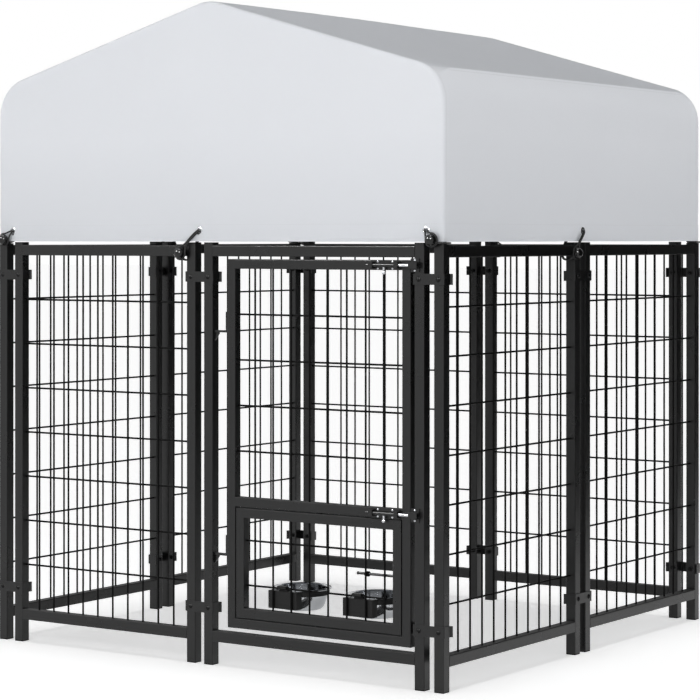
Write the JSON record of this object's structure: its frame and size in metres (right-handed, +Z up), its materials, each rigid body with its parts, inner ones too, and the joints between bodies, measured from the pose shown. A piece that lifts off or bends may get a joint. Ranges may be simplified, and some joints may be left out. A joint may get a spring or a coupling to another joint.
{
  "type": "outdoor dog kennel run",
  "caption": "Free-standing kennel run of clamped wire panels with a hinged gate, a turning feeder with lift-out bowls, and a fitted cloth cover on a tube roof frame.",
  "frame": {"origin": "on the ground, in the middle of the footprint", "axes": "+Z up; +Y from the gate's wall towards the back wall; +X to the right, seen from the gate"},
  "size_m": [1.3324, 1.2934, 1.524],
  "materials": {
    "powder_coat": "satin black powder coat",
    "wire_coat": "black powder coat on wire",
    "moulded_plastic": "black moulded plastic",
    "plated_steel": "zinc-plated steel",
    "stainless_steel": "spun stainless steel",
    "cover_cloth": "coated light grey polyester",
    "elastic_cord": "black elastic cord"
  },
  "bodies": {
    "kennel": {"front_left_uprights": "powder_coat", "gate_uprights": "powder_coat", "right_front_uprights": "powder_coat", "right_back_uprights": "powder_coat", "back_right_uprights": "powder_coat", "back_left_uprights": "powder_coat", "left_back_uprights": "powder_coat", "left_front_uprights": "powder_coat", "front_left_grille": "wire_coat", "right_front_grille": "wire_coat", "right_back_grille": "wire_coat", "back_right_grille": "wire_coat", "back_left_grille": "wire_coat", "left_back_grille": "wire_coat", "left_front_grille": "wire_coat", "gate_rails": "powder_coat", "corner_clamps": "powder_coat", "middle_clamps": "powder_coat", "upright_caps": "moulded_plastic", "foot_plugs": "moulded_plastic", "clamp_bolts": "powder_coat", "clamp_nuts": "powder_coat", "roof_leg_front_left": "powder_coat", "roof_leg_front_right": "powder_coat", "roof_leg_back_right": "powder_coat", "roof_leg_back_left": "powder_coat", "rafter_front_left": "powder_coat", "rafter_front_right": "powder_coat", "rafter_back_right": "powder_coat", "rafter_back_left": "powder_coat", "front_ridge_connector": "moulded_plastic", "back_ridge_connector": "moulded_plastic", "ridge_pole": "powder_coat", "left_eave_pole": "powder_coat", "right_eave_pole": "powder_coat", "cover": "cover_cloth", "eyelets": "plated_steel", "tie_cords": "elastic_cord", "tie_balls": "moulded_plastic", "hinge_pins": "powder_coat", "upper_keeper": "powder_coat", "lower_keeper": "powder_coat"},
    "door": {"door_frame": "powder_coat", "door_grille": "wire_coat", "upper_bolt_plate": "powder_coat", "lower_bolt_plate": "powder_coat"},
    "upper_bolt": {"upper_bolt_rod": "plated_steel"},
    "lower_bolt": {"lower_bolt_rod": "plated_steel"},
    "feeder": {"feeder_frame": "powder_coat", "feeder_grille": "wire_coat", "feeder_pivots": "plated_steel", "left_bowl_bracket": "moulded_plastic", "right_bowl_bracket": "moulded_plastic"},
    "feeder_latch": {"feeder_latch_rod": "powder_coat"},
    "left_bowl": {"left_bowl": "stainless_steel"},
    "right_bowl": {"right_bowl": "stainless_steel"}
  },
  "joints": [
    {"name": "gate_swing", "type": "hinge", "parent": "kennel", "child": "door", "pos_m": [0.053, -0.609, 0.5], "axis": [0, 0, -1], "range_deg": [0, 90]},
    {"name": "upper_bolt_slide", "type": "slide", "parent": "door", "child": "upper_bolt", "axis": [1, 0, 0], "range_m": [0, 0.02]},
    {"name": "lower_bolt_slide", "type": "slide", "parent": "door", "child": "lower_bolt", "axis": [1, 0, 0], "range_m": [0, 0.02]},
    {"name": "feeder_turn", "type": "hinge", "parent": "door", "child": "feeder", "pos_m": [0.3065, -0.609, 0.2405], "axis": [0, 0, 1], "range_deg": [0, 180]},
    {"name": "feeder_latch_slide", "type": "slide", "parent": "feeder", "child": "feeder_latch", "axis": [1, 0, 0], "range_m": [0, 0.015]},
    {"name": "left_bowl_lift", "type": "slide", "parent": "feeder", "child": "left_bowl", "axis": [0, 0, 1], "range_m": [0, 0.06]},
    {"name": "right_bowl_lift", "type": "slide", "parent": "feeder", "child": "right_bowl", "axis": [0, 0, 1], "range_m": [0, 0.06]}
  ]
}
